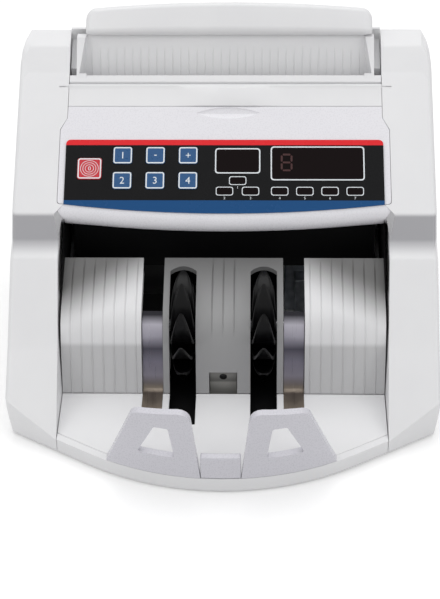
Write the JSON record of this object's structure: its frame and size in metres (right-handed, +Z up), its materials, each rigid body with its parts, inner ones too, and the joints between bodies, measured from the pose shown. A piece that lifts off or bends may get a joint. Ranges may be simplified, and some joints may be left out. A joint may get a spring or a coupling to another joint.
{
  "type": "banknote counter",
  "caption": "Desktop banknote counter with a top hopper, a sloping key panel, bladed stacking wheels and a curved front pocket, with a hinged flap and rear cover.",
  "frame": {"origin": "centre of the footprint, on the table under the feet", "axes": "+X to the viewer's right when facing the front, +Y to the rear, +Z up"},
  "size_m": [0.284, 0.26, 0.211],
  "materials": {
    "black_plastic": "satin",
    "black_rubber": "matt",
    "board_green": "solder mask",
    "bright_steel": "ground",
    "grey_rubber": "matt",
    "key_blue": "printed film",
    "key_red": "printed film",
    "label_black": "printed film",
    "panel_plastic": "fine satin",
    "smoked_window": "clear dark",
    "white_plastic": "fine satin",
    "zinc_steel": "zinc plated"
  },
  "bodies": {
    "chassis": {"base_tray": "white_plastic", "batch_window": "smoked_window", "control_label": "label_black", "count_window": "smoked_window", "cover_hinge_pin": "bright_steel", "detector_bar": "black_plastic", "display_board": "board_green", "display_socket": "black_plastic", "drive_motor": "zinc_steel", "feed_belt": "black_rubber", "foot_front_left": "grey_rubber", "foot_front_right": "grey_rubber", "foot_rear_left": "grey_rubber", "foot_rear_right": "grey_rubber", "fuse_holder": "black_plastic", "guide_strip_left": "bright_steel", "guide_strip_right": "bright_steel", "indicator_lenses": "smoked_window", "main_board": "board_green", "panel_cover": "panel_plastic", "pickup_belt": "black_rubber", "pocket_stop_centre": "panel_plastic", "pocket_stop_left": "panel_plastic", "pocket_stop_right": "panel_plastic", "power_inlet": "black_plastic", "rear_panel": "white_plastic", "side_casing_left": "white_plastic", "side_casing_right": "white_plastic", "side_plate_left": "zinc_steel", "side_plate_right": "zinc_steel", "stack_sensor": "white_plastic", "stacker_belt": "black_rubber", "stacker_floor": "white_plastic", "stacker_plate_centre": "white_plastic", "stacker_plate_left": "white_plastic", "stacker_plate_right": "white_plastic", "switch_body": "black_plastic", "transformer": "zinc_steel"},
    "flap": {"top_flap": "white_plastic"},
    "rear_cover_unit": {"rear_cover": "white_plastic", "hopper_frame": "white_plastic", "hopper_roll": "white_plastic", "friction_rollers": "grey_rubber"},
    "gap_screw": {"gap_screw": "black_plastic"},
    "impeller_unit": {"impeller_shaft": "bright_steel", "impeller_left": "black_rubber", "impeller_right": "black_rubber"},
    "feed_unit": {"feed_shaft": "bright_steel", "feed_rollers": "grey_rubber"},
    "pickup_unit": {"pickup_shaft": "bright_steel", "pickup_rollers": "grey_rubber"},
    "motor_rotor": {"motor_shaft": "bright_steel"},
    "power_rocker": {"power_rocker": "black_plastic"},
    "reset_key": {"reset_key": "key_red"},
    "batch_key": {"batch_key": "key_blue"},
    "minus_key": {"minus_key": "key_blue"},
    "plus_key": {"plus_key": "key_blue"},
    "magnetic_key": {"magnetic_key": "key_blue"},
    "ultraviolet_key": {"ultraviolet_key": "key_blue"},
    "add_key": {"add_key": "key_blue"}
  },
  "joints": [
    {"name": "flap_hinge", "type": "hinge", "parent": "chassis", "child": "flap", "pos_m": [0, 0.09384, 0.1642], "axis": [-1, 0, 0], "range_deg": [0, 80]},
    {"name": "rear_cover_hinge", "type": "hinge", "parent": "chassis", "child": "rear_cover_unit", "pos_m": [0, 0.1255, 0.048], "axis": [-1, 0, 0], "range_deg": [0, 45]},
    {"name": "gap_screw_turn", "type": "hinge", "parent": "rear_cover_unit", "child": "gap_screw", "pos_m": [0, 0.1222, 0.12596], "axis": [0, 1, 0], "range_deg": [-180, 180]},
    {"name": "impeller_turn", "type": "hinge", "parent": "chassis", "child": "impeller_unit", "pos_m": [0, -0.022, 0.048], "axis": [1, 0, 0], "continuous": true},
    {"name": "feed_turn", "type": "hinge", "parent": "chassis", "child": "feed_unit", "pos_m": [0, 0.07004, 0.11196], "axis": [1, 0, 0], "continuous": true},
    {"name": "pickup_turn", "type": "hinge", "parent": "chassis", "child": "pickup_unit", "pos_m": [0, 0.08804, 0.14096], "axis": [1, 0, 0], "continuous": true},
    {"name": "motor_turn", "type": "hinge", "parent": "chassis", "child": "motor_rotor", "pos_m": [0, 0.055, 0.045], "axis": [1, 0, 0], "continuous": true},
    {"name": "power_rocker_tilt", "type": "hinge", "parent": "chassis", "child": "power_rocker", "pos_m": [-0.028, 0.1245, 0.023], "axis": [0, 0, -1], "range_deg": [0, 16]},
    {"name": "reset_key_press", "type": "slide", "parent": "chassis", "child": "reset_key", "axis": [0, 0.5825, -0.8128], "range_m": [0, 0.0004], "stiffness_N_per_m": 1000, "springref_m": -0.0003},
    {"name": "batch_key_press", "type": "slide", "parent": "chassis", "child": "batch_key", "axis": [0, 0.5825, -0.8128], "range_m": [0, 0.0004], "stiffness_N_per_m": 1000, "springref_m": -0.0003},
    {"name": "minus_key_press", "type": "slide", "parent": "chassis", "child": "minus_key", "axis": [0, 0.5825, -0.8128], "range_m": [0, 0.0004], "stiffness_N_per_m": 1000, "springref_m": -0.0003},
    {"name": "plus_key_press", "type": "slide", "parent": "chassis", "child": "plus_key", "axis": [0, 0.5825, -0.8128], "range_m": [0, 0.0004], "stiffness_N_per_m": 1000, "springref_m": -0.0003},
    {"name": "magnetic_key_press", "type": "slide", "parent": "chassis", "child": "magnetic_key", "axis": [0, 0.5825, -0.8128], "range_m": [0, 0.0004], "stiffness_N_per_m": 1000, "springref_m": -0.0003},
    {"name": "ultraviolet_key_press", "type": "slide", "parent": "chassis", "child": "ultraviolet_key", "axis": [0, 0.5825, -0.8128], "range_m": [0, 0.0004], "stiffness_N_per_m": 1000, "springref_m": -0.0003},
    {"name": "add_key_press", "type": "slide", "parent": "chassis", "child": "add_key", "axis": [0, 0.5825, -0.8128], "range_m": [0, 0.0004], "stiffness_N_per_m": 1000, "springref_m": -0.0003}
  ],
  "couplings": [
    {"joint": "motor_turn", "follows": "impeller_turn", "ratio": 1.625},
    {"joint": "feed_turn", "follows": "impeller_turn", "ratio": 1.3},
    {"joint": "pickup_turn", "follows": "impeller_turn", "ratio": 1.3}
  ]
}
